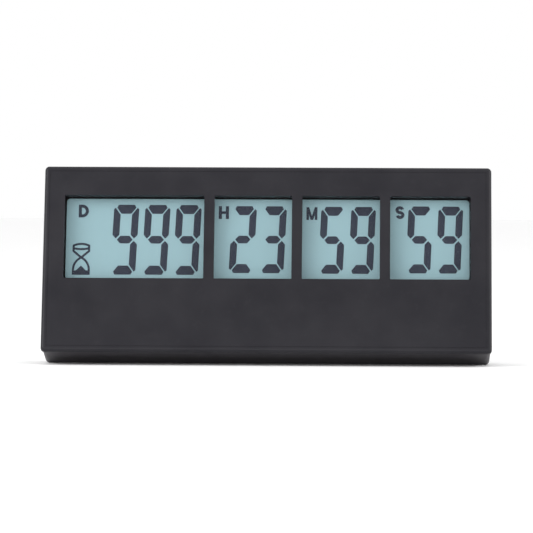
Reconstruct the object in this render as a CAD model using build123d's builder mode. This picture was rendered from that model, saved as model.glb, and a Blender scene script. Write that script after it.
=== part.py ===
from build123d import *
import os
from math import cos, radians, sin, tan

os.makedirs("parts", exist_ok=True)

# A free-standing countdown timer for the games table.  It is a black wedge whose face leans
# back, with four windows over one liquid crystal display.  Millimetres, +Z up, +X to the
# right of someone reading the display, and the face looks along -Y.  The origin is under the
# middle of the case, on the surface it stands on.

# ---- driving dimensions -------------------------------------------------------------------
case_width = 116.0
face_length = 49.65           # up the slope
face_tilt = 16.5              # degrees back from upright
base_step = 12.8              # bottom side square to the face, before the flat foot
top_depth = 8.7               # top side square to the face, from its edge to the back
case_wall = 1.8
face_edge_radius = 1.0
case_corner_radius = 1.1
face_line_inset = 1.35        # fine line sunk round the face
face_line_width = 0.2
face_line_depth = 0.08
back_edge_radius = 1.5
foot_edge_radius = 0.8
rim_depth = 1.6               # side of the front shell that shows
rear_inset = 0.3              # outside of the rear shell, inside that of the rim
seam_gap = 0.35
lip_wall = 0.8
lip_depth = 1.5
fit_gap = 0.1                 # between fixed pieces that locate each other
slide_gap = 0.1               # round the keys and the battery door

# windows, from left to right, and their place on the face
day_window_width = 36.2
pair_window_width = 20.1
last_window_width = 20.8
mullion_width = 2.67
window_bottom = 19.5          # up the slope from the bottom edge of the face
window_height = 22.25
window_corner_radius = 0.25

# display stack, counted inwards from the back of the face wall
lens_thickness = 0.7
gasket_thickness = 0.2
polarizer_thickness = 0.12
glass_thickness = 0.5
cell_gap = 0.03
reflector_thickness = 0.12
glass_side_margin = 1.1       # glass beyond the outermost window edges
glass_top_margin = 0.8
glass_bottom_margin = 1.5
ledge_height = 1.6            # contact ledge below the rear glass
seal_width = 0.6
view_inset_left = 0.35        # opening of the gasket inside the outermost window edges
view_inset_right = 0.3
view_inset_top = 0.25
view_inset_bottom = 0.4
view_corner_radius = 0.9

# digits on the display
day_digit_width = 6.55
pair_digit_width = 6.4
day_digit_pitch = 8.12
pair_digit_pitch = 7.8
day_digit_margin = 3.45       # what the digits leave of the window height
pair_digit_margin = 4.25
day_digit_rise = 0.07         # middle of the digits above the middle of the windows
hour_digit_rise = 0.23
minute_digit_rise = 0.15
second_digit_rise = 0.35
day_digit_shift = 5.55        # middle of a group right of the middle of its window
hour_digit_shift = 1.2
minute_digit_shift = 1.57
second_digit_shift = 1.08
digit_slant = 2.5             # degrees
bar_width = 1.8               # upright segments
cap_height = 2.42             # top and bottom segments
middle_height = 2.05
segment_gap = 0.3
mitre_gap_share = 0.6         # of the gap, given to each side of a mitre
tip_fraction = 0.33           # where a mitred end is cut off, along its mitre
outer_cut = 1.2               # length of the cut at an outer corner
middle_rise = 1.0             # length of the points beside the middle segment

# letters and hourglass on the display
letter_height = 3.45
letter_width = 2.65
letter_stroke = 0.82
letter_bar = 0.7              # cross bar of the H
letter_d_bend = 0.85          # bends of the D, of its half height
letter_m_width = 2.85
letter_m_stroke = 0.68
letter_s_width = 2.4
letter_s_end_x = 0.85         # ends and knees of the S, of its half width and half height
letter_s_end_y = 0.62
letter_s_knee_x = 0.6
letter_s_knee_y = 0.13
day_letter_inset = 4.73       # middle of a letter from the left edge of its window
hour_letter_inset = 2.33
minute_letter_inset = 2.45
second_letter_inset = 2.53
day_letter_drop = 3.4         # and from the top edge
hour_letter_drop = 3.65
minute_letter_drop = 3.8
second_letter_drop = 3.45
hourglass_inset = 4.32        # from the left and the bottom edge of its window
hourglass_rise = 5.97
hourglass_stroke = 0.58
hourglass_half = 2.02
neck_height = 0.37            # heights from the middle of the hourglass
rim_height = 3.57
rim_bow = 0.45
bulb_height = 2.1
shoulder_x = 1.6
shoulder_height = -1.15
sand_top = -1.8
sand_half = 1.6
base_bar_top = -3.4
base_bar_bottom = -4.3

# display frame and its screws
frame_wall = 1.0
frame_web = 1.23
frame_border = 3.0            # also between the pockets in the web
pocket_count = 4
ear_radius = 1.7
small_boss_radius = 1.5
small_screw_radius = 0.7
small_head_radius = 1.3
small_head_height = 0.8
small_screw_length = 2.6
ear_offset = 30.0

# driver slots of all screws, of the radius of the head
cross_length = 1.15
cross_width = 0.28

# case screws
boss_radius = 1.7
boss_inset = 0.15             # upper bosses stand this far inside the lip's outer face
pillar_wall = 0.5
case_screw_radius = 1.0
case_head_radius = 1.9
case_head_height = 1.4
case_head_taper = 12.0        # degrees
case_screw_end = 0.5          # between the tip of an upper screw and the face wall
screw_side_inset = 4.5
screw_low_height = 9.0
upper_recess = 2.3            # from the back to the screw seats, square to the face
lower_recess = 4.7
seat_wall = 2.0

# circuit board and keys
board_left = -22.0
board_right = 37.0
board_low = 9.0
board_high = 36.0
board_thickness = 1.2
board_corner_radius = 0.5
board_behind_wall = 3.25      # clear space between board and back wall
board_boss_radius = 1.9
board_screw_inset = 2.5
board_screw_drop = 4.0
key_radius = 3.5
key_proud = 0.6
key_travel = 0.5
key_flange = 0.8
key_flange_thickness = 0.8
key_row_high = 29.5
key_row_low = 16.5
key_pitch = 13.0
first_key = 27.0              # the row runs towards -X: D, H, M, S from behind
round_key_count = 4
long_key_length = 16.0
plunger_radius = 0.9
plunger_sink = 0.1            # how far a resting plunger stands inside its switch
switch_width = 4.5
switch_height = 1.3
switch_corner_radius = 0.4
switch_bore_depth = 0.9

# battery well in the back: one 2032 coin cell
cell_radius = 10.0
cell_height = 3.2
cell_rim = 1.2                # the negative cap is this much smaller than the can
cell_step = 0.3
cell_gap_round = 0.3          # between the can and the wall of its seat
well_to_board = 2.1           # between the wall of the cup and the circuit board
well_z = 21.0
door_plate = 1.0
door_rim = 0.5                # door beyond its lugs
neck_step = 1.0               # neck of the door beyond the cell
door_neck_wall = 2.0
door_neck_height = 1.8
lug_reach = 1.3               # lugs beyond the neck
lug_thickness = 0.7
lug_arc = 40.0
lug_count = 3
notch_arc = 45.0
ledge_thickness = 1.0
door_turn = 50.0
contact_space = 0.5
well_floor = 0.9
well_wall = 1.0
contact_thickness = 0.2
contact_disc_radius = 5.0
finger_width = 2.4
finger_spacing = 5.0
finger_run = 6.0              # length of a finger's slope
finger_tip = 1.0
leaf_inset = 0.5              # top of the positive leaf below the undercut
tab_length = 3.4
tab_width = 3.0
tab_drop = 6.0                # negative tab below the positive one
tab_end = 1.0                 # slot beyond the end of a tab
coin_slot_length = 13.0
coin_slot_width = 1.8
coin_slot_depth = 0.5

# sounder
sounder_x = 47.0
sounder_z = 22.0
sounder_radius = 7.5
sounder_thickness = 0.25
crystal_radius = 5.4
crystal_thickness = 0.2
sounder_stand = 1.0
sound_hole_radius = 0.6
sound_hole_ring = 2.6

# chip, crystal and small parts on the front of the board
chip_x = 18.0
chip_z = 17.0
chip_radius = 4.5
chip_height = 1.5
chip_edge_radius = 1.2
crystal_can_radius = 1.0
crystal_can_length = 6.0
crystal_can_shift = 10.0      # right of the chip
small_part_width = 1.6
small_part_height = 0.8
small_part_thickness = 0.6
small_part_side = 8.0         # from the chip to the column and to the row of small parts
small_part_rise = 3.0
small_column_pitch = 2.4
small_row_pitch = 3.2

# wires and ribbon
wire_radius = 0.35
wire_bend = 0.8
wire_on_tab = 1.5
wire_on_board = 2.0
sounder_wire_bend = 0.6
sounder_wire_clearance = 1.0
sounder_wire_inset = 0.9
crystal_wire_inset = 1.5
sounder_wire_rise = 3.0
ribbon_width = 24.0
ribbon_x = -4.0
ribbon_thickness = 0.15
ribbon_clearance = 1.0        # beside the ribbon in the display frame
ribbon_bend = 0.5
ribbon_to_rear_glass = 0.3
ribbon_turn_rise = 0.5        # bend above the lower edge of the glass
ribbon_board_high = 5.5       # soldered part, from the lower edge of the board
ribbon_board_low = 2.0

# ---- the frame that everything follows ----------------------------------------------------
tilt = radians(face_tilt)
half_width = case_width / 2
case_depth = face_length * sin(tilt) + top_depth * cos(tilt)
front_rise = base_step * sin(tilt)
front_round = face_edge_radius * (sin(tilt) + cos(tilt) - 1)
middle_y = (front_round + case_depth + key_proud) / 2
front_y = -middle_y
back_y = case_depth - middle_y
rear_wall = case_wall - rear_inset
back_inner_y = back_y - rear_wall

face_plane = Plane(
    origin=(0, front_y, front_rise), x_dir=(1, 0, 0), z_dir=(0, -cos(tilt), sin(tilt))
)
back_plane = Plane(origin=(0, back_y, 0), x_dir=(-1, 0, 0), z_dir=(0, 1, 0))
face_axis = Axis(face_plane.origin, face_plane.z_dir)


def behind(depth):
    """Plane parallel to the face, the given depth behind it."""
    return face_plane.offset(-depth)


def inside_back(depth):
    """Plane parallel to the back, the given depth inside it; its x runs towards -X."""
    return back_plane.offset(-depth)


def side_point(depth, up):
    """Point (y, z) of the side profile: depth behind the face and distance up its slope."""
    return (
        front_y + up * sin(tilt) + depth * cos(tilt),
        front_rise + up * cos(tilt) - depth * sin(tilt),
    )


def depth_at(y, up):
    """Depth behind the face of the point at height up the slope that lies at y."""
    return (y - front_y - up * sin(tilt)) / cos(tilt)


def save(piece, name):
    piece.part.label = name
    export_step(piece.part, "parts/" + name + ".step")


# ---- window and screw places --------------------------------------------------------------
window_widths = [day_window_width, pair_window_width, pair_window_width, last_window_width]
windows = []
left_edge = -(sum(window_widths) + 3 * mullion_width) / 2
for width in window_widths:
    windows.append((left_edge + width / 2, width))
    left_edge += width + mullion_width
window_middle = window_bottom + window_height / 2
window_top = window_bottom + window_height
windows_half_width = left_edge - mullion_width

screw_u = half_width - screw_side_inset
screw_high = face_length - case_wall - fit_gap - boss_inset - boss_radius
upper_seat = depth_at(back_y, screw_high) - upper_recess
lower_seat = depth_at(back_y, screw_low_height) - lower_recess
case_screw_length = upper_seat - case_wall - case_screw_end
screw_places = [
    (-screw_u, screw_high, upper_seat),
    (screw_u, screw_high, upper_seat),
    (-screw_u, screw_low_height, lower_seat),
    (screw_u, screw_low_height, lower_seat),
]

# depths behind the face
lens_depth = case_wall
gasket_depth = lens_depth + lens_thickness
polarizer_depth = gasket_depth + gasket_thickness
front_glass_depth = polarizer_depth + polarizer_thickness
segment_depth = front_glass_depth + glass_thickness
rear_glass_depth = segment_depth + cell_gap
reflector_depth = rear_glass_depth + glass_thickness
web_depth = reflector_depth + reflector_thickness
frame_depth = web_depth + frame_web
glass_width = 2 * (windows_half_width + glass_side_margin)
glass_bottom = window_bottom - glass_bottom_margin
glass_top = window_top + glass_top_margin
glass_middle = (glass_bottom + glass_top) / 2
glass_height = glass_top - glass_bottom
frame_gap = fit_gap + frame_wall
frame_width = glass_width + 2 * frame_gap
frame_height = glass_height + 2 * frame_gap
ear_top = glass_top + frame_gap + ear_radius
ear_bottom = glass_bottom - frame_gap - ear_radius
ears = [
    (-ear_offset, ear_top),
    (ear_offset, ear_top),
    (-ear_offset, ear_bottom),
    (ear_offset, ear_bottom),
]

# ---- front shell --------------------------------------------------------------------------
with BuildPart() as front_shell:
    with BuildSketch(behind(rim_depth)):
        with Locations((0, face_length / 2)):
            RectangleRounded(case_width, face_length, case_corner_radius)
    extrude(amount=rim_depth)
    fillet(front_shell.faces().sort_by(face_axis)[-1].edges(), face_edge_radius)
    line_outer_width = case_width - 2 * face_line_inset
    line_outer_height = face_length - 2 * face_line_inset
    with BuildSketch(behind(face_line_depth)):
        with Locations((0, face_length / 2)):
            Rectangle(line_outer_width, line_outer_height)
            Rectangle(
                line_outer_width - 2 * face_line_width,
                line_outer_height - 2 * face_line_width,
                mode=Mode.SUBTRACT,
            )
    extrude(amount=face_line_depth, mode=Mode.SUBTRACT)
    # the wall behind the rim and the lip that locates the rear shell
    lip_width = case_width - 2 * (case_wall + fit_gap)
    lip_height = face_length - 2 * (case_wall + fit_gap)
    with BuildSketch(behind(case_wall)):
        with Locations((0, face_length / 2)):
            Rectangle(lip_width, lip_height)
    extrude(amount=case_wall - rim_depth)
    with BuildSketch(behind(rim_depth + lip_depth)):
        with Locations((0, face_length / 2)):
            Rectangle(lip_width, lip_height)
            Rectangle(lip_width - 2 * lip_wall, lip_height - 2 * lip_wall, mode=Mode.SUBTRACT)
    extrude(amount=lip_depth)
    # bosses for the case screws, and small ones for the display frame
    for u, v, seat in screw_places:
        with BuildSketch(behind(seat - seat_wall)):
            with Locations((u, v)):
                Circle(boss_radius)
        extrude(amount=seat - seat_wall - case_wall)
        with BuildSketch(behind(seat - seat_wall)):
            with Locations((u, v)):
                Circle(case_screw_radius)
        extrude(amount=case_screw_length - seat_wall + fit_gap, mode=Mode.SUBTRACT)
    with BuildSketch(behind(web_depth)):
        with Locations(*ears):
            Circle(small_boss_radius)
    extrude(amount=web_depth - case_wall)
    with BuildSketch(behind(web_depth)):
        with Locations(*ears):
            Circle(small_screw_radius)
    extrude(amount=small_screw_length - frame_web + fit_gap, mode=Mode.SUBTRACT)
    for centre, width in windows:
        with BuildSketch(behind(case_wall)):
            with Locations((centre, window_middle)):
                RectangleRounded(width, window_height, window_corner_radius)
        extrude(amount=case_wall, mode=Mode.SUBTRACT)
save(front_shell, "front_shell")

# ---- rear shell ---------------------------------------------------------------------------
shell_front = rim_depth + seam_gap
board_rear_y = back_inner_y - board_behind_wall
board_front_y = board_rear_y - board_thickness
board_screws = []
for x in (board_left + board_screw_inset, board_right - board_screw_inset):
    for z in (board_low + board_screw_inset, board_high - board_screw_drop):
        board_screws.append((x, z))
round_keys = []
for index in range(round_key_count):
    round_keys.append((first_key - index * key_pitch, key_row_high))
long_keys = [
    (first_key - key_pitch / 2, key_row_low),
    (first_key - 2 * key_pitch - key_pitch / 2, key_row_low),
]
door_neck_radius = cell_radius + neck_step
lug_radius = door_neck_radius + lug_reach
door_radius = lug_radius + door_rim
door_recess_radius = door_radius + slide_gap
ledge_hole_radius = door_neck_radius + slide_gap
undercut_radius = lug_radius + slide_gap
ledge_rear = door_plate + ledge_thickness
lug_rear = ledge_rear + fit_gap
undercut_rear = door_plate + door_neck_height + slide_gap
cell_rear = undercut_rear + fit_gap / 2
cell_front = cell_rear + cell_height
floor_front = cell_front + contact_space
seat_radius = cell_radius + cell_gap_round
cup_outer_radius = undercut_radius + well_wall
well_x = board_left - well_to_board - cup_outer_radius
tab_reach = seat_radius + well_wall + tab_length - tab_end


def profile_points(front):
    """Outline of the wedge seen from its side, starting the given depth behind the face."""
    low = rear_inset
    high = face_length - rear_inset
    return [
        side_point(front, low),
        side_point(base_step + rear_inset / tan(tilt), low),
        (back_y, 0),
        side_point(depth_at(back_y, high), high),
        side_point(front, high),
    ]


def ring_sector(inner_radius, outer_radius, arc):
    """Flat piece of a ring, centred on its plane's X axis."""
    with BuildSketch() as sector:
        with BuildLine():
            inner = CenterArc((0, 0), inner_radius, -arc / 2, arc)
            outer = CenterArc((0, 0), outer_radius, -arc / 2, arc)
            Line(inner @ 0, outer @ 0)
            Line(inner @ 1, outer @ 1)
        make_face()
    return sector.sketch


notch = ring_sector(door_neck_radius, undercut_radius, notch_arc)
with BuildPart() as rear_shell:
    with BuildSketch(Plane.YZ):
        with BuildLine():
            Polyline(*profile_points(shell_front), close=True)
        make_face()
    extrude(amount=half_width - rear_inset, both=True)
    long_edges = rear_shell.edges().filter_by(Axis.X)
    back_edges = long_edges.group_by(Axis.Y)[-1]
    foot_edge = long_edges.filter_by(lambda e: abs(e.center().Z) < 0.01).sort_by(Axis.Y)[0]
    fillet(back_edges, back_edge_radius)
    fillet(foot_edge, foot_edge_radius)
    end_edges = rear_shell.faces().group_by(Axis.X)[0].edges()
    end_edges += rear_shell.faces().group_by(Axis.X)[-1].edges()
    front_edges = rear_shell.faces().sort_by(face_axis)[-1].edges()
    fillet([edge for edge in end_edges if edge not in front_edges], case_corner_radius)
    # hollow, open at the front
    with BuildSketch(Plane.YZ):
        with BuildLine():
            Polyline(*profile_points(shell_front - 2 * case_wall), close=True)
        make_face()
        offset(amount=-rear_wall, kind=Kind.INTERSECTION)
    extrude(amount=half_width - case_wall, both=True, mode=Mode.SUBTRACT)
    # pillars round the case screws
    pillar_outer = case_head_radius + 2 * fit_gap + pillar_wall
    for u, v, seat in screw_places:
        back_depth = depth_at(back_y, v)
        with BuildSketch(behind(back_depth)):
            with Locations((u, v)):
                Circle(pillar_outer)
        extrude(amount=back_depth - seat + seat_wall)
    # trim whatever stands outside the back
    with BuildSketch(back_plane):
        with Locations((0, face_length / 2)):
            Rectangle(2 * case_width, 2 * face_length)
    extrude(amount=2 * base_step, mode=Mode.SUBTRACT)
    for u, v, seat in screw_places:
        with BuildSketch(behind(seat)):
            with Locations((u, v)):
                Circle(case_head_radius + 2 * fit_gap)
        extrude(amount=-2 * case_depth, mode=Mode.SUBTRACT)
        with BuildSketch(behind(seat)):
            with Locations((u, v)):
                Circle(case_screw_radius + fit_gap)
        extrude(amount=seat_wall, mode=Mode.SUBTRACT)
    # bosses for the circuit board
    with BuildSketch(Plane.XZ.offset(-board_rear_y)):
        with Locations(*board_screws):
            Circle(board_boss_radius)
    extrude(amount=-board_behind_wall)
    with BuildSketch(Plane.XZ.offset(-board_rear_y)):
        with Locations(*board_screws):
            Circle(small_screw_radius)
    extrude(amount=-(small_screw_length - board_thickness + fit_gap), mode=Mode.SUBTRACT)
    # battery well: cup, stepped bore, ledge with notches for the lugs of the door
    with BuildSketch(inside_back(undercut_rear + well_wall)):
        with Locations((-well_x, well_z)):
            Circle(cup_outer_radius)
    extrude(amount=undercut_rear + well_wall - door_plate)
    with BuildSketch(inside_back(floor_front + well_floor)):
        with Locations((-well_x, well_z)):
            Circle(seat_radius + well_wall)
    extrude(amount=floor_front + well_floor - undercut_rear)
    for depth, radius, length in (
        (door_plate, door_recess_radius, door_plate),
        (ledge_rear, ledge_hole_radius, ledge_thickness),
        (undercut_rear, undercut_radius, undercut_rear - ledge_rear),
        (floor_front, seat_radius, floor_front - undercut_rear),
    ):
        with BuildSketch(inside_back(depth)):
            with Locations((-well_x, well_z)):
                Circle(radius)
        extrude(amount=length, mode=Mode.SUBTRACT)
    with BuildSketch(inside_back(ledge_rear)):
        with Locations((-well_x, well_z)):
            with PolarLocations(0, lug_count, start_angle=door_turn):
                add(notch)
    extrude(amount=ledge_thickness, mode=Mode.SUBTRACT)
    # slots where the battery tabs leave the cup
    for drop in (0, -tab_drop):
        with BuildSketch(inside_back(floor_front)):
            with Locations((-well_x - seat_radius, well_z + drop)):
                Rectangle(2 * well_wall + 2 * tab_length, tab_width + 2 * fit_gap)
        extrude(amount=contact_space, mode=Mode.SUBTRACT)
    # key holes
    with BuildSketch(back_plane):
        with Locations(*[(-x, z) for x, z in round_keys]):
            Circle(key_radius + slide_gap)
        with Locations(*[(-x, z) for x, z in long_keys]):
            SlotOverall(long_key_length + 2 * slide_gap, 2 * (key_radius + slide_gap))
    extrude(amount=-rear_wall, mode=Mode.SUBTRACT)
    # sounder seat and sound holes
    with BuildSketch(inside_back(rear_wall + sounder_stand + sounder_thickness)):
        with Locations((-sounder_x, sounder_z)):
            Circle(sounder_radius + fit_gap + lip_wall)
            Circle(sounder_radius + fit_gap, mode=Mode.SUBTRACT)
    extrude(amount=sounder_stand + sounder_thickness)
    with BuildSketch(inside_back(rear_wall + sounder_stand)):
        with Locations((-sounder_x, sounder_z)):
            Circle(sounder_radius + fit_gap)
            Circle(sounder_radius - lip_wall, mode=Mode.SUBTRACT)
    extrude(amount=sounder_stand)
    with BuildSketch(back_plane):
        with Locations((-sounder_x, sounder_z)):
            Circle(sound_hole_radius)
            with PolarLocations(sound_hole_ring, 6):
                Circle(sound_hole_radius)
    extrude(amount=-rear_wall, mode=Mode.SUBTRACT)
save(rear_shell, "rear_shell")


# ---- display ------------------------------------------------------------------------------
def display_plate(name, rear_depth, thickness, low, high, width=glass_width):
    """Flat rectangular layer of the display, from low to high up the slope."""
    with BuildPart() as plate:
        with BuildSketch(behind(rear_depth)):
            with Locations((0, (low + high) / 2)):
                Rectangle(width, high - low)
        extrude(amount=thickness)
    save(plate, name)


display_plate("display_lens", gasket_depth, lens_thickness, glass_bottom, glass_top)
display_plate("lcd_polarizer", front_glass_depth, polarizer_thickness, glass_bottom, glass_top)
display_plate("lcd_front_glass", segment_depth, glass_thickness, glass_bottom, glass_top)
rear_glass_bottom = glass_bottom + ledge_height
display_plate("lcd_rear_glass", reflector_depth, glass_thickness, rear_glass_bottom, glass_top)
display_plate("lcd_reflector", web_depth, reflector_thickness, rear_glass_bottom, glass_top)

with BuildPart() as display_gasket:
    with BuildSketch(behind(polarizer_depth)):
        with Locations((0, glass_middle)):
            Rectangle(glass_width, glass_height)
        view_u = (view_inset_left - view_inset_right) / 2
        view_v = window_middle + (view_inset_bottom - view_inset_top) / 2
        with Locations((view_u, view_v)):
            RectangleRounded(
                2 * windows_half_width - view_inset_left - view_inset_right,
                window_height - view_inset_top - view_inset_bottom,
                view_corner_radius,
                mode=Mode.SUBTRACT,
            )
    extrude(amount=gasket_thickness)
save(display_gasket, "display_gasket")

with BuildPart() as lcd_seal:
    with BuildSketch(behind(rear_glass_depth)):
        with Locations((0, (rear_glass_bottom + glass_top) / 2)):
            seal_outer_height = glass_top - rear_glass_bottom
            Rectangle(glass_width, seal_outer_height)
            Rectangle(
                glass_width - 2 * seal_width,
                seal_outer_height - 2 * seal_width,
                mode=Mode.SUBTRACT,
            )
    extrude(amount=cell_gap)
save(lcd_seal, "lcd_seal")

# The segments that are switched on.  A digit is drawn upright about its own centre, then
# leaned by the slant.  Letters name the segments clockwise from the top, with g in the middle.
lit_segments = {"2": "abged", "3": "abgcd", "5": "afgcd", "9": "abcdfg"}
digit_groups = [
    ("999", day_digit_shift, day_digit_rise),
    ("23", hour_digit_shift, hour_digit_rise),
    ("59", minute_digit_shift, minute_digit_rise),
    ("59", second_digit_shift, second_digit_rise),
]


def segment_outline(letter, width, height):
    """Corners of one segment of an upright digit whose centre is the origin."""
    half = width / 2
    top = height / 2
    mitre_shift = segment_gap * mitre_gap_share
    tip_x = half - bar_width * tip_fraction
    tip_y = top - cap_height * tip_fraction
    inner = half - bar_width
    mitre_y = top - cap_height * (1 + mitre_shift / bar_width)
    middle_tip = half - bar_width / 2
    if letter in "ad":
        points = [
            (tip_x - mitre_shift, tip_y),
            (half - outer_cut, top),
            (outer_cut - half, top),
            (mitre_shift - tip_x, tip_y),
            (mitre_shift - inner, top - cap_height),
            (inner - mitre_shift, top - cap_height),
        ]
    elif letter == "g":
        points = [
            (middle_tip - segment_gap, 0),
            (inner - segment_gap, middle_height / 2),
            (segment_gap - inner, middle_height / 2),
            (segment_gap - middle_tip, 0),
            (segment_gap - inner, -middle_height / 2),
            (inner - segment_gap, -middle_height / 2),
        ]
    else:
        points = [
            (half, middle_rise + segment_gap),
            (middle_tip, segment_gap),
            (inner, middle_rise + segment_gap),
            (inner, mitre_y),
            (tip_x + mitre_shift, tip_y),
            (half, top - outer_cut),
        ]
    across = -1 if letter in "ef" else 1
    upright = -1 if letter in "cde" else 1
    return [(x * across, y * upright) for x, y in points]


def digit_outlines(text, centre, middle):
    """Corners of every lit segment of a group of digits about its centre and middle height."""
    is_day = len(text) == 3
    width = day_digit_width if is_day else pair_digit_width
    pitch = day_digit_pitch if is_day else pair_digit_pitch
    height = window_height - (day_digit_margin if is_day else pair_digit_margin)
    outlines = []
    for index, digit in enumerate(text):
        u = centre + (index - (len(text) - 1) / 2) * pitch
        for letter in lit_segments[digit]:
            outline = segment_outline(letter, width, height)
            outlines.append([(u + x + y * lean, middle + y) for x, y in outline])
    return outlines


def letter_d():
    x = (letter_width - letter_stroke) / 2
    y = (letter_height - letter_stroke) / 2
    bend = y * letter_d_bend
    with BuildSketch() as letter:
        with BuildLine():
            Line((-x, -y), (-x, y))
            Line((-x, y), (x - bend, y))
            Line((-x, -y), (x - bend, -y))
            ThreePointArc((x - bend, y), (x, 0), (x - bend, -y))
        trace(line_width=letter_stroke)
    return letter.sketch


def letter_h():
    upright_spacing = letter_width - letter_stroke
    with BuildSketch() as letter:
        with GridLocations(upright_spacing, 0, 2, 1):
            Rectangle(letter_stroke, letter_height)
        Rectangle(upright_spacing, letter_bar)
    return letter.sketch


def letter_m():
    half = letter_m_width / 2
    top = letter_height / 2
    inner = half - letter_m_stroke
    valley = top - letter_height * inner / (half - letter_m_stroke / 2)
    with BuildSketch() as letter:
        with GridLocations(letter_m_width - letter_m_stroke, 0, 2, 1):
            Rectangle(letter_m_stroke, letter_height)
        with BuildLine():
            Polyline(
                (-half, top), (-inner, top), (0, valley), (inner, top), (half, top),
                (letter_m_stroke / 2, -top), (-letter_m_stroke / 2, -top),
                close=True,
            )
        make_face()
    return letter.sketch


def letter_s():
    x = (letter_s_width - letter_stroke) / 2
    y = (letter_height - letter_stroke) / 2
    end_x, end_y = x * letter_s_end_x, y * letter_s_end_y
    knee_x, knee_y = x * letter_s_knee_x, y * letter_s_knee_y
    with BuildSketch() as letter:
        with BuildLine():
            ThreePointArc((end_x, end_y), (0, y), (-x, y / 2))
            ThreePointArc((-x, y / 2), (-knee_x, knee_y), (0, 0))
            ThreePointArc((0, 0), (knee_x, -knee_y), (x, -y / 2))
            ThreePointArc((x, -y / 2), (0, -y), (-end_x, -end_y))
        trace(line_width=letter_stroke)
    return letter.sketch


def bulb_sketch(is_upper, grow):
    """One bulb of the hourglass, grown all round by the given amount."""
    half = hourglass_half
    with BuildSketch() as bulb:
        with BuildLine():
            if is_upper:
                rim = (half, rim_height)
                mirrored_rim = (-half, rim_height)
                ThreePointArc(mirrored_rim, (0, rim_height + rim_bow), rim)
                Polyline(
                    rim, (half, bulb_height), (0, neck_height), (-half, bulb_height), mirrored_rim
                )
            else:
                foot = (half, base_bar_top)
                mirrored_foot = (-half, base_bar_top)
                ThreePointArc((0, neck_height), (shoulder_x, shoulder_height), foot)
                Line(foot, mirrored_foot)
                ThreePointArc(mirrored_foot, (-shoulder_x, shoulder_height), (0, neck_height))
        make_face()
        offset(amount=grow)
    return bulb.sketch


def hourglass_sketch():
    half = hourglass_half
    half_stroke = hourglass_stroke / 2
    solid_bulbs = [bulb_sketch(is_upper, half_stroke) for is_upper in (True, False)]
    hollow_bulbs = [bulb_sketch(is_upper, -half_stroke) for is_upper in (True, False)]
    with BuildSketch() as hourglass:
        for bulb in solid_bulbs:
            add(bulb)
        for bulb in hollow_bulbs:
            add(bulb, mode=Mode.SUBTRACT)
        # near side of the rim
        with BuildLine():
            low_rim = rim_height - rim_bow
            ThreePointArc((-half, low_rim), (0, low_rim - rim_bow / 2), (half, low_rim))
            Line((half, low_rim), (half, low_rim - hourglass_stroke))
            ThreePointArc(
                (half, low_rim - hourglass_stroke),
                (0, low_rim - hourglass_stroke - rim_bow / 2),
                (-half, low_rim - hourglass_stroke),
            )
            Line((-half, low_rim - hourglass_stroke), (-half, low_rim))
        make_face()
        # heap of sand on the base bar
        with BuildLine():
            Polyline(
                (-sand_half, base_bar_top), (0, sand_top), (sand_half, base_bar_top), close=True
            )
        make_face()
        with Locations((0, (base_bar_top + base_bar_bottom) / 2)):
            Rectangle(2 * half + hourglass_stroke, base_bar_top - base_bar_bottom)
    return hourglass.sketch


letters = [
    (letter_d(), day_letter_inset, day_letter_drop),
    (letter_h(), hour_letter_inset, hour_letter_drop),
    (letter_m(), minute_letter_inset, minute_letter_drop),
    (letter_s(), second_letter_inset, second_letter_drop),
]
hourglass = hourglass_sketch()
lean = tan(radians(digit_slant))
with BuildPart() as lcd_segments:
    with BuildSketch(behind(rear_glass_depth)):
        for (text, shift, rise), (window_centre, width) in zip(digit_groups, windows):
            for outline in digit_outlines(text, window_centre + shift, window_middle + rise):
                with BuildLine():
                    Polyline(*outline, close=True)
                make_face()
        window_lefts = [centre - width / 2 for centre, width in windows]
        for (letter, inset, drop), left in zip(letters, window_lefts):
            with Locations((left + inset, window_top - drop)):
                add(letter)
        with Locations((window_lefts[0] + hourglass_inset, window_bottom + hourglass_rise)):
            add(hourglass)
    extrude(amount=cell_gap)
save(lcd_segments, "lcd_segments")

# ---- display frame ------------------------------------------------------------------------
with BuildPart() as lcd_frame:
    with BuildSketch(behind(frame_depth)):
        with Locations((0, glass_middle)):
            Rectangle(frame_width, frame_height)
    extrude(amount=frame_depth - case_wall)
    with BuildSketch(behind(web_depth)):
        with Locations((0, glass_middle)):
            Rectangle(glass_width + 2 * fit_gap, glass_height + 2 * fit_gap)
    extrude(amount=web_depth, mode=Mode.SUBTRACT)
    # ears under the small screws, and slots in the web between its ribs
    with BuildSketch(behind(frame_depth)):
        for u, v in ears:
            inward = (glass_middle - v) / abs(glass_middle - v)
            with Locations((u, v)):
                Circle(ear_radius)
            with Locations((u, v + inward * ear_radius / 2)):
                Rectangle(2 * ear_radius, ear_radius)
    extrude(amount=frame_web)
    pocket_width = (glass_width - (pocket_count + 1) * frame_border) / pocket_count
    pocket_height = glass_height - 2 * frame_border
    with BuildSketch(behind(frame_depth)):
        with Locations(*ears):
            Circle(small_screw_radius + fit_gap)
        with Locations((0, glass_middle)):
            with GridLocations(pocket_width + frame_border, 0, pocket_count, 1):
                Rectangle(pocket_width, pocket_height)
        # the ribbon leaves through the lower border
        with Locations((ribbon_x, glass_bottom)):
            Rectangle(ribbon_width + 2 * ribbon_clearance, 2 * frame_border)
    extrude(amount=frame_web, mode=Mode.SUBTRACT)
save(lcd_frame, "lcd_frame")


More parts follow.
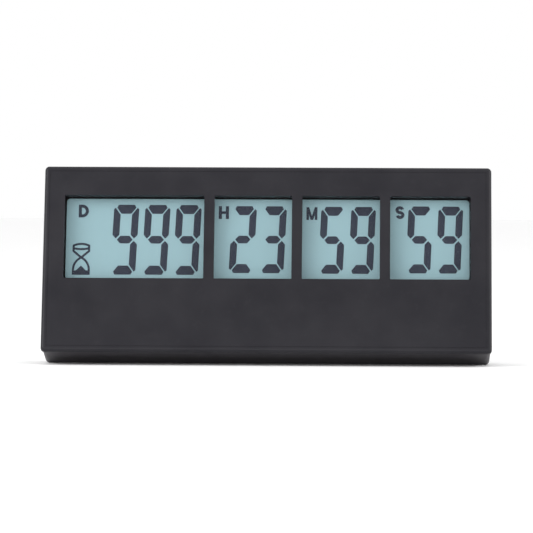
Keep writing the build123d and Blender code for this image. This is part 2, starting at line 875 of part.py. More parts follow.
def screw(plane_of_seat, places, shank, radius, head, head_height, name):
    """Equal pan-head screws: the shank goes along the plane's normal from its seat."""
    with BuildPart() as screws:
        with BuildSketch(plane_of_seat):
            with Locations(*places):
                Circle(radius)
        extrude(amount=shank)
        with BuildSketch(plane_of_seat):
            with Locations(*places):
                Circle(head)
        extrude(amount=-head_height)
        rims = screws.edges().filter_by(GeomType.CIRCLE)
        rims = rims.filter_by(lambda e: abs(e.radius - head) < fit_gap / 2)
        outer_rims = rims.group_by(Axis(plane_of_seat.origin, plane_of_seat.z_dir))[0]
        chamfer(outer_rims, head_height / 3)
        with BuildSketch(plane_of_seat.offset(-head_height)):
            with Locations(*places):
                Rectangle(cross_length * head, cross_width * head)
                Rectangle(cross_width * head, cross_length * head)
        extrude(amount=head_height / 2, mode=Mode.SUBTRACT)
    save(screws, name)


screw(
    behind(frame_depth), ears, small_screw_length, small_screw_radius,
    small_head_radius, small_head_height, "frame_screws",
)
board_front = Plane(origin=(0, board_front_y, 0), x_dir=(-1, 0, 0), z_dir=(0, 1, 0))
screw(
    board_front, [(-x, z) for x, z in board_screws], small_screw_length, small_screw_radius,
    small_head_radius, small_head_height, "board_screws",
)
with BuildPart() as case_screws:
    for u, v, seat in screw_places:
        seat_plane = behind(seat)
        with BuildSketch(seat_plane):
            with Locations((u, v)):
                Circle(case_screw_radius)
        extrude(amount=case_screw_length)
        with BuildSketch(seat_plane):
            with Locations((u, v)):
                Circle(case_head_radius)
        extrude(amount=-case_head_height, taper=case_head_taper)
        with BuildSketch(seat_plane.offset(-case_head_height)):
            with Locations((u, v)):
                Rectangle(cross_length * case_head_radius, cross_width * case_head_radius)
                Rectangle(cross_width * case_head_radius, cross_length * case_head_radius)
        extrude(amount=case_head_height / 2, mode=Mode.SUBTRACT)
save(case_screws, "case_screws")

# ---- circuit board and what it carries ----------------------------------------------------
board_width = board_right - board_left
board_height = board_high - board_low
board_middle = ((board_left + board_right) / 2, (board_low + board_high) / 2)
with BuildPart() as circuit_board:
    with BuildSketch(Plane.XZ.offset(-board_front_y)):
        with Locations(board_middle):
            RectangleRounded(board_width, board_height, board_corner_radius)
        with Locations(*board_screws):
            Circle(small_screw_radius + fit_gap, mode=Mode.SUBTRACT)
    extrude(amount=-board_thickness)
save(circuit_board, "circuit_board")

with BuildPart() as chip_cap:
    with BuildSketch(Plane.XZ.offset(-board_front_y)):
        with Locations((chip_x, chip_z)):
            Circle(chip_radius)
    extrude(amount=chip_height)
    fillet(chip_cap.edges().group_by(Axis.Y)[0], chip_edge_radius)
save(chip_cap, "chip_cap")

can_centre = (chip_x + crystal_can_shift, board_front_y - crystal_can_radius, chip_z)
can_plane = Plane(origin=can_centre, x_dir=(1, 0, 0), z_dir=(0, 0, 1))
with BuildPart() as crystal_can:
    with BuildSketch(can_plane):
        Circle(crystal_can_radius)
    extrude(amount=crystal_can_length)
    fillet(crystal_can.edges(), crystal_can_radius / 3)
save(crystal_can, "crystal_can")

with BuildPart() as surface_parts:
    with BuildSketch(Plane.XZ.offset(-board_front_y)):
        with Locations((chip_x - small_part_side, chip_z + small_part_rise)):
            with GridLocations(0, small_column_pitch, 1, 3):
                Rectangle(small_part_width, small_part_height)
        with Locations((chip_x, chip_z + small_part_side)):
            with GridLocations(small_row_pitch, 0, 4, 1):
                Rectangle(small_part_width, small_part_height)
    extrude(amount=small_part_thickness)
save(surface_parts, "surface_parts")

key_places = round_keys + long_keys
switch_rear_y = board_rear_y + switch_height
with BuildPart() as key_switches:
    with BuildSketch(Plane.XZ.offset(-board_rear_y)):
        with Locations(*key_places):
            RectangleRounded(switch_width, switch_width, switch_corner_radius)
    extrude(amount=-switch_height)
    with BuildSketch(Plane.XZ.offset(-switch_rear_y)):
        with Locations(*key_places):
            Circle(plunger_radius + fit_gap)
    extrude(amount=switch_bore_depth, mode=Mode.SUBTRACT)
save(key_switches, "key_switches")

key_names = ["day_key", "hour_key", "minute_key", "second_key", "start_stop_key", "clear_key"]
flange_rear = back_inner_y - fit_gap / 2
flange_front = flange_rear - key_flange_thickness


def key_outline(is_long, grow):
    """Round or oblong outline of a key, grown all round by the given amount."""
    with BuildSketch() as outline:
        if is_long:
            SlotOverall(long_key_length + 2 * grow, 2 * (key_radius + grow))
        else:
            Circle(key_radius + grow)
    return outline.sketch


for name, (x, z) in zip(key_names, key_places):
    is_long = (x, z) in long_keys
    cap = key_outline(is_long, 0)
    flange = key_outline(is_long, key_flange)
    with BuildPart() as key:
        with BuildSketch(Plane.XZ.offset(-flange_front)):
            with Locations((x, z)):
                add(flange)
        extrude(amount=-key_flange_thickness)
        with BuildSketch(Plane.XZ.offset(-flange_rear)):
            with Locations((x, z)):
                add(cap)
        extrude(amount=-(back_y + key_proud - flange_rear))
        fillet(key.faces().sort_by(Axis.Y)[-1].edges(), key_proud / 2)
    save(key, name)
    plunger_front = switch_rear_y - plunger_sink
    with BuildPart() as plunger:
        with BuildSketch(Plane.XZ.offset(-plunger_front)):
            with Locations((x, z)):
                Circle(plunger_radius)
        extrude(amount=-(flange_front - plunger_front))
    save(plunger, name.replace("_key", "_plunger"))

# ---- battery, its contacts and its door ---------------------------------------------------
with BuildPart() as coin_cell:
    with BuildSketch(inside_back(cell_front)):
        with Locations((-well_x, well_z)):
            Circle(cell_radius - cell_rim)
    extrude(amount=cell_height)
    with BuildSketch(inside_back(cell_front - cell_step)):
        with Locations((-well_x, well_z)):
            Circle(cell_radius)
    extrude(amount=cell_height - cell_step)
    fillet(coin_cell.faces().sort_by(Axis.Y)[-1].edges(), cell_step)
save(coin_cell, "coin_cell")

# the negative contact lies on the floor of the cup, with two sprung fingers under the cell
floor_y = back_y - floor_front
cell_front_y = back_y - cell_front
with BuildPart() as negative_contact:
    with BuildSketch(inside_back(floor_front)):
        with Locations((-well_x, well_z)):
            Circle(contact_disc_radius)
        with Locations((-well_x - tab_reach / 2, well_z - tab_drop)):
            Rectangle(tab_reach, tab_width)
        with Locations((-well_x - finger_spacing / 2, well_z - tab_drop / 2)):
            Rectangle(tab_width, tab_drop)
    extrude(amount=contact_thickness)
    finger_foot = well_z - finger_run / 2
    finger_knee = well_z + finger_run / 2
    for side in (-1, 1):
        with BuildSketch(Plane.YZ.offset(well_x + side * finger_spacing / 2)):
            with BuildLine():
                Polyline(
                    (floor_y + contact_thickness, finger_foot),
                    (cell_front_y - contact_thickness, finger_knee),
                    (cell_front_y, finger_knee),
                    (cell_front_y, finger_knee + finger_tip),
                    (cell_front_y - contact_thickness, finger_knee + finger_tip),
                    (floor_y, finger_foot),
                    close=True,
                )
            make_face()
        extrude(amount=finger_width / 2, both=True)
save(negative_contact, "negative_contact")

# the positive contact stands beside the cell and its foot leaves through a slot
leaf_x = well_x + cell_radius
with BuildPart() as positive_contact:
    with BuildSketch(Plane.XY.offset(well_z - tab_width / 2)):
        leaf_rear_y = back_y - undercut_rear - leaf_inset
        with BuildLine():
            Polyline(
                (leaf_x, floor_y),
                (leaf_x, leaf_rear_y),
                (leaf_x + contact_thickness, leaf_rear_y),
                (leaf_x + contact_thickness, floor_y + contact_thickness),
                (well_x + tab_reach, floor_y + contact_thickness),
                (well_x + tab_reach, floor_y),
                close=True,
            )
        make_face()
    extrude(amount=tab_width)
save(positive_contact, "positive_contact")

lug = ring_sector(door_neck_radius - fit_gap, lug_radius, lug_arc)
with BuildPart() as battery_door:
    with BuildSketch(inside_back(door_plate)):
        with Locations((-well_x, well_z)):
            Circle(door_radius)
    extrude(amount=door_plate)
    fillet(battery_door.faces().sort_by(Axis.Y)[-1].edges(), door_plate / 4)
    with BuildSketch(inside_back(door_plate + door_neck_height)):
        with Locations((-well_x, well_z)):
            Circle(door_neck_radius)
            Circle(door_neck_radius - door_neck_wall, mode=Mode.SUBTRACT)
    extrude(amount=door_neck_height)
    with BuildSketch(inside_back(lug_rear + lug_thickness)):
        with Locations((-well_x, well_z)):
            with PolarLocations(0, lug_count):
                add(lug)
    extrude(amount=lug_thickness)
    with BuildSketch(back_plane):
        with Locations((-well_x, well_z)):
            SlotOverall(coin_slot_length, coin_slot_width)
    extrude(amount=-coin_slot_depth, mode=Mode.SUBTRACT)
save(battery_door, "battery_door")

# ---- sounder ------------------------------------------------------------------------------
sounder_seat = rear_wall + sounder_stand
with BuildPart() as sounder_disc:
    with BuildSketch(inside_back(sounder_seat + sounder_thickness)):
        with Locations((-sounder_x, sounder_z)):
            Circle(sounder_radius)
    extrude(amount=sounder_thickness)
save(sounder_disc, "sounder_disc")
with BuildPart() as sounder_crystal:
    with BuildSketch(inside_back(sounder_seat + sounder_thickness + crystal_thickness)):
        with Locations((-sounder_x, sounder_z)):
            Circle(crystal_radius)
    extrude(amount=crystal_thickness)
save(sounder_crystal, "sounder_crystal")


# ---- wires and ribbon ---------------------------------------------------------------------
def wire(name, points, radii):
    """Round wire along straight runs joined by arcs."""
    with BuildPart() as conductor:
        with BuildLine() as route:
            FilletPolyline(*points, radius=radii)
        start = Plane(origin=route.line @ 0, z_dir=route.line % 0)
        with BuildSketch(start):
            Circle(wire_radius)
        sweep()
    save(conductor, name)


tab_wire_y = floor_y - wire_radius
board_wire_y = board_front_y - wire_radius
tab_wire_x = well_x + tab_reach - wire_on_tab
for name, z in (("battery_wire_positive", well_z), ("battery_wire_negative", well_z - tab_drop)):
    wire(
        name,
        [
            (tab_wire_x, tab_wire_y, z),
            (board_left - wire_bend, tab_wire_y, z),
            (board_left + wire_bend, board_wire_y, z),
            (board_left + wire_bend + wire_on_board, board_wire_y, z),
        ],
        wire_bend,
    )
disc_wire_y = back_y - sounder_seat - sounder_thickness - wire_radius
crystal_wire_y = disc_wire_y - crystal_thickness
disc_wire_x = sounder_x - sounder_radius + sounder_wire_inset
crystal_wire_x = sounder_x - crystal_radius + crystal_wire_inset
passing_y = board_wire_y - sounder_wire_clearance
for name, z, start_x, start_y in (
    ("sounder_wire_disc", sounder_z + sounder_wire_rise, disc_wire_x, disc_wire_y),
    ("sounder_wire_crystal", sounder_z, crystal_wire_x, crystal_wire_y),
):
    wire(
        name,
        [
            (start_x, start_y, z),
            (start_x, passing_y, z),
            (board_right - wire_on_board + wire_bend, passing_y, z),
            (board_right - wire_on_board - wire_bend, board_wire_y, z),
            (board_right - 2 * wire_on_board - wire_bend, board_wire_y, z),
        ],
        sounder_wire_bend,
    )

ribbon_half = ribbon_thickness / 2
ribbon_depth = segment_depth + ribbon_half
ledge_y, ledge_z = side_point(ribbon_depth, rear_glass_bottom - ribbon_to_rear_glass)
turn_y, turn_z = side_point(ribbon_depth, glass_bottom + ribbon_turn_rise)
ribbon_rear_y = board_front_y - ribbon_half
with BuildPart() as lcd_ribbon:
    with BuildSketch(Plane.YZ.offset(ribbon_x - ribbon_width / 2)):
        with BuildLine():
            FilletPolyline(
                (ledge_y, ledge_z),
                (turn_y, turn_z),
                (ribbon_rear_y, board_low + ribbon_board_high),
                (ribbon_rear_y, board_low + ribbon_board_low),
                radius=ribbon_bend,
            )
        trace(line_width=ribbon_thickness)
    extrude(amount=ribbon_width)
save(lcd_ribbon, "lcd_ribbon")
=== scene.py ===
import math

import bpy
from mathutils import Matrix, Vector


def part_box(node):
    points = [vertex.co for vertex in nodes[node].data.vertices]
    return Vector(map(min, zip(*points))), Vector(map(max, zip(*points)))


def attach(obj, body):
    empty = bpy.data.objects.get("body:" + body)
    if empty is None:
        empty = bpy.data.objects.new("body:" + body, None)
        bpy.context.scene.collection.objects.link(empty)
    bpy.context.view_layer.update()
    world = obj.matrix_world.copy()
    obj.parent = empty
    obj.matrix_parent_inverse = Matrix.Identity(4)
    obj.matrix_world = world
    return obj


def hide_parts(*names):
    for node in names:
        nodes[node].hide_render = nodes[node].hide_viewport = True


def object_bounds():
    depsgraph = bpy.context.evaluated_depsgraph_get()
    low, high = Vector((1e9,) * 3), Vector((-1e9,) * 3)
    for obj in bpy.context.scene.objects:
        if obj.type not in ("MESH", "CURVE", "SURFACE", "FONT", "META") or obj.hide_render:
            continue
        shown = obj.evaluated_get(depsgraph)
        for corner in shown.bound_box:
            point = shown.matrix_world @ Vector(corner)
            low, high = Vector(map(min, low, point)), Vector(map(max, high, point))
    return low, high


# The looks of a black free-standing countdown timer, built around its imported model.
# Metres; +X to the right of the reader, the face looks along -Y and leans back, +Z up.

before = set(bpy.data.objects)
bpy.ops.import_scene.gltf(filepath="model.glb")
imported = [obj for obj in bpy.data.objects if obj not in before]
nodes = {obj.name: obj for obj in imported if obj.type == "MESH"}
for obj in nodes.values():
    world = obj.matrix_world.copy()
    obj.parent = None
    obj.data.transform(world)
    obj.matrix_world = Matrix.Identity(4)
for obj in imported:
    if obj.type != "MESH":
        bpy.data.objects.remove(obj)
cad_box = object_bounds()
MM = 0.001
KEYS = ("day", "hour", "minute", "second", "start_stop", "clear")
BRUSHED_UP = (1.0, 1.0, 12.0)
BRUSHED_ACROSS = (12.0, 1.0, 1.0)


# ---- material kit -------------------------------------------------------------------------
def new_material(name):
    """An empty node material; returns the material, its tree and its principled shader."""
    material = bpy.data.materials.new(name)
    material.use_nodes = True
    tree = material.node_tree
    shader = next(n for n in tree.nodes if n.type == "BSDF_PRINCIPLED")
    return material, tree, shader


def add_node(tree, kind, **inputs):
    """A node of the given kind with plain values on its named inputs."""
    made = tree.nodes.new(kind)
    for key, value in inputs.items():
        made.inputs[key.replace("_", " ")].default_value = value
    return made


def link(tree, source, target):
    tree.links.new(source, target)


def stretched_point(tree, stretch):
    mapping = add_node(tree, "ShaderNodeMapping", Scale=stretch)
    coordinates = tree.nodes.new("ShaderNodeTexCoord")
    link(tree, coordinates.outputs["Object"], mapping.inputs["Vector"])
    return mapping.outputs["Vector"]


def noise(tree, size, detail=2.0, roughness=0.5, stretch=(1.0, 1.0, 1.0)):
    """Noise whose features are about the given size in metres."""
    made = add_node(
        tree, "ShaderNodeTexNoise", Scale=1.0 / size, Detail=detail, Roughness=roughness
    )
    link(tree, stretched_point(tree, stretch), made.inputs["Vector"])
    return made.outputs["Fac"]


def bands(tree, pitch, direction):
    """Parallel stripes across the given axis, from 0 to 1."""
    made = add_node(tree, "ShaderNodeTexWave", Scale=math.pi / (10.0 * pitch), Distortion=0.0)
    made.wave_type = "BANDS"
    made.bands_direction = direction
    link(tree, stretched_point(tree, (1.0, 1.0, 1.0)), made.inputs["Vector"])
    return made.outputs["Fac"]


def spread(tree, source, low, high, source_low=0.3, source_high=0.7):
    """Maps a value to the range from low to high."""
    made = add_node(
        tree, "ShaderNodeMapRange",
        From_Min=source_low, From_Max=source_high, To_Min=low, To_Max=high,
    )
    link(tree, source, made.inputs["Value"])
    return made.outputs["Result"]


def blend(tree, factor, first, second):
    """Mixes two colours, each a triple or another node's output."""
    made = tree.nodes.new("ShaderNodeMix")
    made.data_type = "RGBA"
    for socket, colour in ((made.inputs[6], first), (made.inputs[7], second)):
        if isinstance(colour, bpy.types.NodeSocket):
            link(tree, colour, socket)
        else:
            socket.default_value = (*colour, 1.0)
    link(tree, factor, made.inputs[0])
    return made.outputs[2]


def add_bump(tree, shader, *heights):
    """Stacks bumps, each a pair of a value output and a depth in metres."""
    previous = None
    for value, depth in heights:
        bump = add_node(tree, "ShaderNodeBump", Strength=1.0, Distance=depth)
        link(tree, value, bump.inputs["Height"])
        if previous:
            link(tree, previous.outputs["Normal"], bump.inputs["Normal"])
        previous = bump
    link(tree, previous.outputs["Normal"], shader.inputs["Normal"])


def shaded(tree, shader, colour, worn_colour, roughness, cloud=14 * MM, mark=2.2 * MM):
    """Cloudy colour, small marks of the worn colour and uneven roughness."""
    clouds = spread(tree, noise(tree, cloud, detail=3.0), 0.0, 1.0)
    marks = spread(tree, noise(tree, mark, detail=4.0, roughness=0.7), 0.0, 0.4, 0.55, 0.8)
    halfway = tuple((a + b) / 2 for a, b in zip(colour, worn_colour))
    base = blend(tree, clouds, colour, halfway)
    link(tree, blend(tree, marks, base, worn_colour), shader.inputs["Base Color"])
    satin = noise(tree, cloud / 2, detail=5.0, roughness=0.6)
    link(tree, spread(tree, satin, roughness - 0.04, roughness + 0.05), shader.inputs["Roughness"])


def moulded(name, colour, worn_colour, roughness, specular=0.3, grain=0.35 * MM, depth=0.006 * MM):
    """Moulded plastic or rubber with a fine spark texture."""
    material, tree, shader = new_material(name)
    shaded(tree, shader, colour, worn_colour, roughness)
    shader.inputs["Specular IOR Level"].default_value = specular
    spark = noise(tree, grain, detail=3.0, roughness=0.6)
    swell = noise(tree, 22 * MM, detail=1.0)
    add_bump(tree, shader, (swell, 0.03 * MM), (spark, depth))
    return material


def plated(name, colour, worn_colour, roughness, stretch=BRUSHED_UP):
    """Plated or bare metal, brushed along one axis."""
    material, tree, shader = new_material(name)
    shaded(tree, shader, colour, worn_colour, roughness, cloud=5 * MM, mark=0.8 * MM)
    shader.inputs["Metallic"].default_value = 1.0
    brushed = noise(tree, 0.4 * MM, detail=4.0, stretch=stretch)
    add_bump(tree, shader, (brushed, 0.004 * MM))
    return material


def pane(name, colour, alpha, roughness):
    """Thin clear sheet with a faint haze."""
    material, tree, shader = new_material(name)
    haze = noise(tree, 9 * MM, detail=4.0)
    link(tree, spread(tree, haze, 0.9 * alpha, 1.1 * alpha), shader.inputs["Alpha"])
    lighter = tuple(1.2 * c for c in colour)
    link(tree, blend(tree, haze, colour, lighter), shader.inputs["Base Color"])
    link(tree, spread(tree, haze, 0.9 * roughness, 1.1 * roughness), shader.inputs["Roughness"])
    add_bump(tree, shader, (noise(tree, 30 * MM), 0.01 * MM))
    return material


# ---- materials ----------------------------------------------------------------------------
def display_background():
    """Pale blue-green ground of the display."""
    material, tree, shader = new_material("display_background")
    shaded(
        tree, shader, (0.325, 0.505, 0.555), (0.355, 0.535, 0.585),
        roughness=0.6, cloud=18 * MM, mark=0.3 * MM,
    )
    shader.inputs["Specular IOR Level"].default_value = 0.2
    add_bump(tree, shader, (noise(tree, 0.12 * MM), 0.002 * MM))
    return material


def solder_mask():
    """Green board: the traces below the mask show as slightly raised, lighter lines."""
    material, tree, shader = new_material("solder_mask")
    shaded(tree, shader, (0.010, 0.085, 0.030), (0.020, 0.120, 0.045), roughness=0.32)
    across = spread(tree, bands(tree, 1.6 * MM, "X"), 0.0, 1.0, 0.80, 0.86)
    along = spread(tree, bands(tree, 2.4 * MM, "Z"), 0.0, 1.0, 0.84, 0.90)
    patches = spread(tree, noise(tree, 6 * MM, detail=0.0), 0.0, 1.0, 0.49, 0.51)
    chosen = tree.nodes.new("ShaderNodeMix")
    for socket, source in zip((0, 2, 3), (patches, across, along)):
        link(tree, source, chosen.inputs[socket])
    plain = shader.inputs["Base Color"].links[0].from_socket
    traced = blend(tree, chosen.outputs[0], plain, (0.035, 0.20, 0.080))
    link(tree, traced, shader.inputs["Base Color"])
    add_bump(tree, shader, (chosen.outputs[0], 0.03 * MM), (noise(tree, 0.2 * MM), 0.003 * MM))
    return material


def striped_ribbon():
    """Amber film with copper conductors side by side."""
    material, tree, shader = new_material("striped_ribbon")
    stripes = spread(tree, bands(tree, 1.0 * MM, "X"), 0.0, 1.0, 0.45, 0.55)
    mottled = spread(tree, noise(tree, 3 * MM, detail=3.0), 0.0, 1.0)
    film = blend(tree, mottled, (0.36, 0.17, 0.035), (0.42, 0.21, 0.05))
    link(tree, blend(tree, stripes, film, (0.20, 0.09, 0.03)), shader.inputs["Base Color"])
    link(tree, spread(tree, mottled, 0.25, 0.35, 0.0, 1.0), shader.inputs["Roughness"])
    add_bump(tree, shader, (stripes, 0.02 * MM))
    return material


def spun_disc(name, colour, worn_colour, roughness):
    """Sheet metal with fine rings round the sounder's middle."""
    material, tree, shader = new_material(name)
    shaded(tree, shader, colour, worn_colour, roughness, cloud=4 * MM, mark=0.9 * MM)
    shader.inputs["Metallic"].default_value = 1.0
    rings = noise(tree, 0.5 * MM, detail=3.0, stretch=(1.0, 0.1, 1.0))
    add_bump(tree, shader, (rings, 0.005 * MM))
    return material


face_black = moulded(
    "face_black", (0.0085, 0.0080, 0.0115), (0.0205, 0.0195, 0.0235), roughness=0.40, specular=0.22
)
# The rear shell is painted lighter than face_black: painted fill light that lifts its shaded
# underside strip below the face.
rear_black_painted_fill = moulded(
    "rear_black_painted_fill", (0.033, 0.030, 0.036), (0.042, 0.039, 0.045),
    roughness=0.46, specular=0.28, grain=0.5 * MM, depth=0.012 * MM,
)
inner_black = moulded("inner_black", (0.016, 0.016, 0.017), (0.022, 0.022, 0.023), roughness=0.6)
foam_black = moulded(
    "foam_black", (0.006, 0.006, 0.007), (0.010, 0.010, 0.011), roughness=0.85, specular=0.1
)
key_rubber = moulded(
    "key_rubber", (0.060, 0.060, 0.064), (0.078, 0.078, 0.082), roughness=0.62, specular=0.35
)
door_black = moulded("door_black", (0.026, 0.024, 0.029), (0.034, 0.032, 0.037), roughness=0.46)
epoxy_black = moulded(
    "epoxy_black", (0.008, 0.008, 0.009), (0.014, 0.014, 0.015),
    roughness=0.2, specular=0.5, grain=1.0 * MM,
)
seal_grey = moulded("seal_grey", (0.24, 0.24, 0.22), (0.28, 0.28, 0.26), roughness=0.5)
film_silver = moulded(
    "film_silver", (0.40, 0.43, 0.42), (0.46, 0.48, 0.47), roughness=0.45, specular=0.5
)
tan_ceramic = moulded("tan_ceramic", (0.26, 0.18, 0.11), (0.32, 0.24, 0.16), roughness=0.4)
silvered_ceramic = moulded(
    "silvered_ceramic", (0.52, 0.51, 0.48), (0.60, 0.59, 0.56), roughness=0.35, specular=0.6
)
red_sleeve = moulded(
    "red_sleeve", (0.38, 0.012, 0.012), (0.44, 0.03, 0.025), roughness=0.35, specular=0.45
)
black_sleeve = moulded(
    "black_sleeve", (0.012, 0.012, 0.012), (0.02, 0.02, 0.02), roughness=0.35, specular=0.45
)
legend_white = moulded(
    "legend_white", (0.55, 0.55, 0.54), (0.42, 0.42, 0.41), roughness=0.5, grain=0.2 * MM
)
segment_ink = moulded(
    "segment_ink", (0.037, 0.042, 0.065), (0.042, 0.053, 0.073),
    roughness=0.55, specular=0.1, grain=0.12 * MM, depth=0.002 * MM,
)
zinc_plate = plated("zinc_plate", (0.55, 0.55, 0.53), (0.42, 0.42, 0.40), roughness=0.32)
black_zinc = plated("black_zinc", (0.06, 0.06, 0.065), (0.12, 0.12, 0.12), roughness=0.36)
tin_plate = plated("tin_plate", (0.60, 0.60, 0.59), (0.48, 0.48, 0.47), roughness=0.28)
cell_nickel = plated(
    "cell_nickel", (0.66, 0.66, 0.64), (0.54, 0.54, 0.52), roughness=0.22, stretch=BRUSHED_ACROSS
)
spring_nickel = plated(
    "spring_nickel", (0.60, 0.58, 0.53), (0.48, 0.46, 0.42), roughness=0.3, stretch=BRUSHED_ACROSS
)
sounder_brass = spun_disc("sounder_brass", (0.58, 0.40, 0.15), (0.44, 0.28, 0.09), roughness=0.3)
lens_clear = pane("lens_clear", (0.02, 0.02, 0.02), alpha=0.03, roughness=0.10)
film_clear = pane("film_clear", (0.03, 0.035, 0.035), alpha=0.04, roughness=0.3)
ground = display_background()
board_green = solder_mask()
ribbon_amber = striped_ribbon()

finishes = {
    "front_shell": face_black,
    "rear_shell": rear_black_painted_fill,
    "display_lens": lens_clear,
    "display_gasket": foam_black,
    "lcd_rear_glass": ground,
    "lcd_reflector": film_silver,
    "lcd_seal": seal_grey,
    "lcd_segments": segment_ink,
    "lcd_frame": inner_black,
    "lcd_ribbon": ribbon_amber,
    "frame_screws": zinc_plate,
    "board_screws": zinc_plate,
    "case_screws": black_zinc,
    "circuit_board": board_green,
    "chip_cap": epoxy_black,
    "crystal_can": tin_plate,
    "surface_parts": tan_ceramic,
    "key_switches": inner_black,
    "coin_cell": cell_nickel,
    "negative_contact": spring_nickel,
    "positive_contact": spring_nickel,
    "battery_door": door_black,
    "sounder_disc": sounder_brass,
    "sounder_crystal": silvered_ceramic,
    "battery_wire_positive": red_sleeve,
    "battery_wire_negative": black_sleeve,
    "sounder_wire_disc": black_sleeve,
    "sounder_wire_crystal": red_sleeve,
}
for key in KEYS:
    finishes[key + "_key"] = key_rubber
    finishes[key + "_plunger"] = inner_black
for node_name, material in finishes.items():
    mesh = nodes[node_name].data
    mesh.materials.clear()
    mesh.materials.append(material)


# ---- helpers for pieces -------------------------------------------------------------------
def select_only(piece):
    bpy.ops.object.select_all(action="DESELECT")
    piece.select_set(True)
    bpy.context.view_layer.objects.active = piece


def give(piece, name, material, body):
    """Names a finished piece, gives it its material and ties it to its body."""
    piece.name = name
    piece.data.name = name
    piece.data.materials.clear()
    piece.data.materials.append(material)
    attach(piece, body)
    return piece


def middle_of(node_name):
    low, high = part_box(node_name)
    return [(a + b) / 2 for a, b in zip(low, high)]


# ---- display film: stands for the front glass and the film on it ---------------------------
film = bpy.data.objects.new("display_film", nodes["lcd_polarizer"].data.copy())
bpy.context.scene.collection.objects.link(film)
select_only(film)
bpy.ops.object.mode_set(mode="EDIT")
bpy.ops.mesh.select_all(action="SELECT")
bpy.ops.mesh.remove_doubles(threshold=0.001 * MM)
bpy.ops.object.mode_set(mode="OBJECT")
give(film, "display_film", film_clear, "case")
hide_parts("lcd_polarizer", "lcd_front_glass")

# ---- legends on the back ------------------------------------------------------------------
back_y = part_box("battery_door")[1][1]
print_height = 0.04 * MM
legend_sink = 0.02 * MM


def legend(words, height, x, z, name):
    """Printed words on the back, readable from behind, centred at x and z."""
    bpy.ops.object.select_all(action="DESELECT")
    bpy.ops.object.text_add(location=(0.0, 0.0, 0.0))
    text = bpy.context.object
    text.data.body = words
    text.data.size = height
    text.data.extrude = (print_height + legend_sink) / 2
    text.data.align_x = "CENTER"
    text.data.align_y = "CENTER"
    text.data.resolution_u = 4  # steps of each curve
    bpy.ops.object.convert(target="MESH")
    piece = bpy.context.object
    piece.rotation_euler = (math.pi / 2, 0.0, math.pi)
    piece.location = (x, back_y + (print_height - legend_sink) / 2, z)
    bpy.ops.object.transform_apply(location=True, rotation=True, scale=True)
    bpy.ops.object.mode_set(mode="EDIT")
    bpy.ops.mesh.select_all(action="SELECT")
    bpy.ops.mesh.remove_doubles(threshold=0.0005 * MM)
    bpy.ops.mesh.normals_make_consistent(inside=False)
    bpy.ops.object.mode_set(mode="OBJECT")
    return give(piece, name, legend_white, "case")


legend_gap = 2.0 * MM          # from a key to the middle of its legend
letter_height = 3.2 * MM
word_height = 2.6 * MM
for key, words in zip(KEYS, ("D", "H", "M", "S", "START/STOP", "CLEAR")):
    x = middle_of(key + "_key")[0]
    low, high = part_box(key + "_key")
    if len(words) == 1:
        legend(words, letter_height, x, high[2] + legend_gap, key + "_legend")
    else:
        legend(words, word_height, x, low[2] - legend_gap, key + "_legend")


# marks round the battery door: where its pointer stands when it is locked and when it is open
door_x, _, door_z = middle_of("battery_door")
door_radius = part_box("battery_door")[1][0] - door_x
door_turn = 50.0
mark_height = 2.0 * MM
mark_radius = door_radius + 2.6 * MM
pointer_radius = 0.9 * MM
pointer_inset = 1.6 * MM       # from the door's edge to the pointer's middle
for words, angle in (("LOCK", 0.0), ("OPEN", door_turn)):
    turn = math.radians(angle)
    mark_x = door_x + mark_radius * math.sin(turn)
    mark_z = door_z + mark_radius * math.cos(turn)
    legend(words, mark_height, mark_x, mark_z, words.lower() + "_legend")

bpy.ops.object.select_all(action="DESELECT")
bpy.ops.mesh.primitive_cylinder_add(
    vertices=3, radius=pointer_radius, depth=print_height + legend_sink, location=(0.0, 0.0, 0.0)
)
pointer = bpy.context.object
pointer.rotation_euler = (math.pi / 2, 0.0, 0.0)
pointer.location = (
    door_x,
    back_y + (print_height - legend_sink) / 2,
    door_z + door_radius - pointer_inset,
)
bpy.ops.object.transform_apply(location=True, rotation=True, scale=True)
give(pointer, "door_pointer", legend_white, "battery_door")

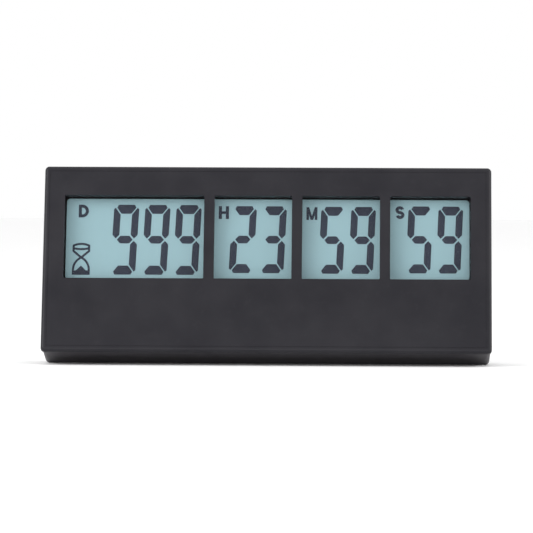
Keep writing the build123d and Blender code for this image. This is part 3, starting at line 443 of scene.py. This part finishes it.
# ---- floor, light, camera -----------------------------------------------------------------
bpy.ops.object.select_all(action="DESELECT")
bpy.ops.mesh.primitive_plane_add(size=6.0, location=(0.0, 0.0, 0.0))
floor = bpy.context.object
floor.name = "floor"
floor_paper, tree, shader = new_material("floor_paper")
paper = noise(tree, 30 * MM, detail=3.0)
link(tree, blend(tree, paper, (0.95, 0.95, 0.95), (0.96, 0.96, 0.96)), shader.inputs["Base Color"])
shader.inputs["Roughness"].default_value = 0.8
floor.data.materials.append(floor_paper)

world = bpy.data.worlds.new("studio")
bpy.context.scene.world = world
world.use_nodes = True
world.node_tree.nodes["Background"].inputs["Color"].default_value = (1.0, 1.0, 1.0, 1.0)
world.node_tree.nodes["Background"].inputs["Strength"].default_value = 1.0
bpy.context.scene.view_settings.view_transform = "Standard"


def soft_box(name, place, target, width, height, power):
    light = bpy.data.lights.new(name, "AREA")
    light.shape = "RECTANGLE"
    light.size = width
    light.size_y = height
    light.energy = power
    lamp = bpy.data.objects.new(name, light)
    lamp.location = place
    lamp.rotation_euler = (Vector(target) - Vector(place)).to_track_quat("-Z", "Y").to_euler()
    bpy.context.scene.collection.objects.link(lamp)


middle = [(low + high) / 2 for low, high in zip(*cad_box)]
soft_box("top_box", (0.0, -0.3, 1.2), middle, width=1.2, height=1.0, power=2.0)
soft_box("left_box", (-0.6, -0.4, 0.30), middle, width=0.4, height=0.5, power=2.9)
soft_box("right_box", (1.0, -0.25, 0.35), middle, width=0.6, height=0.8, power=4.5)
soft_box("low_box", (0.0, -1.3, 0.02), (0.0, 0.0, 0.0), width=1.6, height=0.2, power=6.0)

camera_data = bpy.data.cameras.new("camera")
camera = bpy.data.objects.new("camera", camera_data)
bpy.context.scene.collection.objects.link(camera)
camera_data.sensor_width = 36.0
camera_data.lens = 260.5
turn, dip, roll = math.radians(1.562), math.radians(1.42), math.radians(0.23)
camera.location = (0.02705, -0.99963, 0.0501)
camera.rotation_euler = (
    Matrix.Rotation(turn, 4, "Z")
    @ Matrix.Rotation(math.pi / 2 - dip, 4, "X")
    @ Matrix.Rotation(roll, 4, "Z")
).to_euler()
bpy.context.scene.camera = camera
